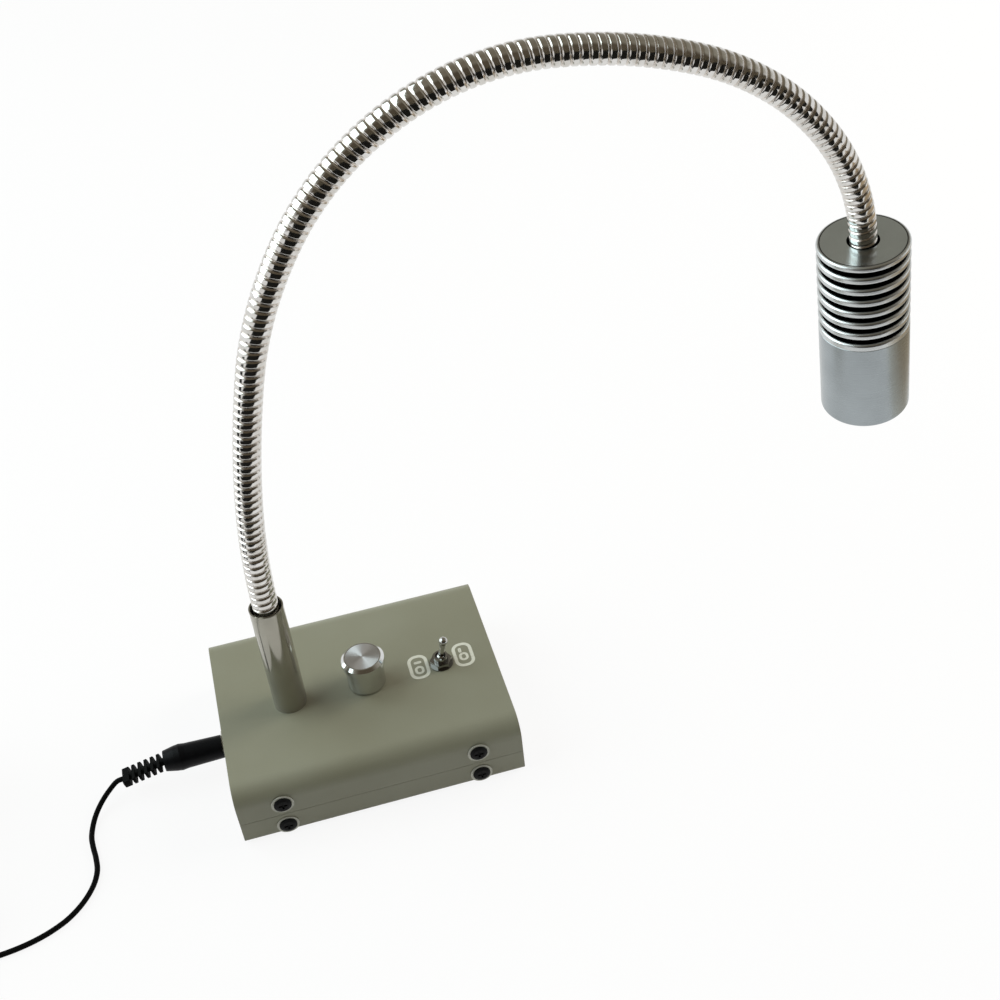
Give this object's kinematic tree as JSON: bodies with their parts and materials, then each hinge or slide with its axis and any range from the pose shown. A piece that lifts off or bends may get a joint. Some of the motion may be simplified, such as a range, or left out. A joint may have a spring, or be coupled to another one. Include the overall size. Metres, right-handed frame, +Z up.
{
  "type": "led microscope spotlight",
  "caption": "Bench spotlight: sheet-metal control case with dimmer knob and toggle, bendable ribbed neck on a post, finned cylindrical lamp head, DC lead.",
  "frame": {"origin": "middle of the underside of the non-slip pad, on the table", "axes": "+X towards the lamp head along the case's length, +Y to the rear, +Z up"},
  "size_m": [0.4663, 0.1144, 0.285],
  "materials": {
    "case_paint": "satin olive-grey powder coat",
    "screw_black": "black oxide",
    "washer_zinc": "dull zinc",
    "steel": "plain steel",
    "chrome": "bright chrome",
    "nickel": "satin nickel",
    "brass": "turned brass",
    "aluminium": "satin anodised",
    "black_plastic": "matt moulded",
    "black_rubber": "matt",
    "board": "solder mask",
    "white_board": "white solder mask",
    "red_plastic": "moulded",
    "blue_sleeve": "shrunk sleeve",
    "lead_red": "soft insulation",
    "phosphor": "silicone dome",
    "glass": "polished"
  },
  "bodies": {
    "base": {"base_pad": "black_rubber", "base_tray": "case_paint", "top_cover": "case_paint", "left_end_plate": "case_paint", "right_end_plate": "case_paint", "case_screws": "screw_black", "case_washers": "washer_zinc", "ballast_plate": "steel", "ballast_screws": "steel", "board_standoffs": "brass", "driver_board": "board", "board_screws": "steel", "driver_coil": "black_plastic", "driver_capacitor": "blue_sleeve", "driver_chip": "black_plastic", "lamp_lead": "lead_red", "dc_jack": "black_plastic", "dc_jack_nut": "nickel", "potentiometer": "nickel", "pot_nut": "nickel", "toggle_body": "red_plastic", "toggle_washer": "chrome", "toggle_nut": "chrome", "post_tube": "nickel", "post_nut": "steel", "neck_ferrule": "brass", "post_grub_screw": "screw_black", "neck_root": "chrome"},
    "neck_1": {"neck_link_1": "chrome"},
    "neck_2": {"neck_link_2": "chrome"},
    "neck_3": {"neck_link_3": "chrome"},
    "neck_4": {"neck_link_4": "chrome"},
    "neck_5": {"neck_link_5": "chrome"},
    "neck_6": {"neck_link_6": "chrome"},
    "head": {"neck_link_7": "chrome", "heat_sink": "aluminium", "head_cap": "aluminium", "head_grub_screw": "screw_black", "lamp_barrel": "aluminium", "led_board": "white_board", "led_screws": "steel", "led_emitter": "phosphor", "lens_spacer": "aluminium", "lens": "glass", "lens_ring": "black_plastic"},
    "dimmer": {"knob": "aluminium", "knob_cap": "aluminium", "knob_grub_screw": "screw_black", "pot_shaft": "aluminium"},
    "lever": {"toggle_lever": "chrome"},
    "lead": {"dc_plug": "black_plastic", "plug_sleeve": "nickel", "strain_relief": "black_rubber", "power_cord": "black_rubber", "cord_coil": "black_rubber", "cord_tie": "black_plastic", "adapter_cord": "black_rubber", "adapter_relief": "black_rubber", "adapter_body": "black_plastic", "adapter_pins": "brass"}
  },
  "joints": [
    {"name": "neck_lower_bend", "type": "hinge", "parent": "base", "child": "neck_1", "pos_m": [-0.02408, -0.002, 0.13481], "axis": [0, 1, 0], "range_deg": [-10, 10]},
    {"name": "neck_lower_sway", "type": "hinge", "parent": "neck_1", "child": "neck_2", "pos_m": [-0.01329, -0.002, 0.18667], "axis": [0.9659, 0, -0.2588], "range_deg": [-15, 15]},
    {"name": "neck_rise_bend", "type": "hinge", "parent": "neck_2", "child": "neck_3", "pos_m": [0.00879, -0.002, 0.23457], "axis": [0, 1, 0], "range_deg": [-15, 15]},
    {"name": "neck_shoulder_bend", "type": "hinge", "parent": "neck_3", "child": "neck_4", "pos_m": [0.04809, -0.002, 0.26934], "axis": [0, 1, 0], "range_deg": [-18, 18]},
    {"name": "neck_crown_swing", "type": "hinge", "parent": "neck_4", "child": "neck_5", "pos_m": [0.09938, -0.002, 0.27954], "axis": [-0.0872, 0, -0.9962], "range_deg": [-18, 18]},
    {"name": "neck_fall_bend", "type": "hinge", "parent": "neck_5", "child": "neck_6", "pos_m": [0.15053, -0.002, 0.26655], "axis": [0, 1, 0], "range_deg": [-18, 18]},
    {"name": "neck_head_bend", "type": "hinge", "parent": "neck_6", "child": "head", "pos_m": [0.192, -0.002, 0.23444], "axis": [0, 1, 0], "range_deg": [-18, 18]},
    {"name": "dimmer_turn", "type": "hinge", "parent": "base", "child": "dimmer", "pos_m": [0.004, -0.002, 0.028], "axis": [0, 0, 1], "range_deg": [-150, 150]},
    {"name": "toggle_throw", "type": "hinge", "parent": "base", "child": "lever", "pos_m": [0.0355, -0.002, 0.031], "axis": [0, 1, 0], "range_deg": [-26, 0]},
    {"name": "plug_pull", "type": "slide", "parent": "base", "child": "lead", "axis": [-1, 0, 0], "range_m": [0, 0.0095]}
  ]
}
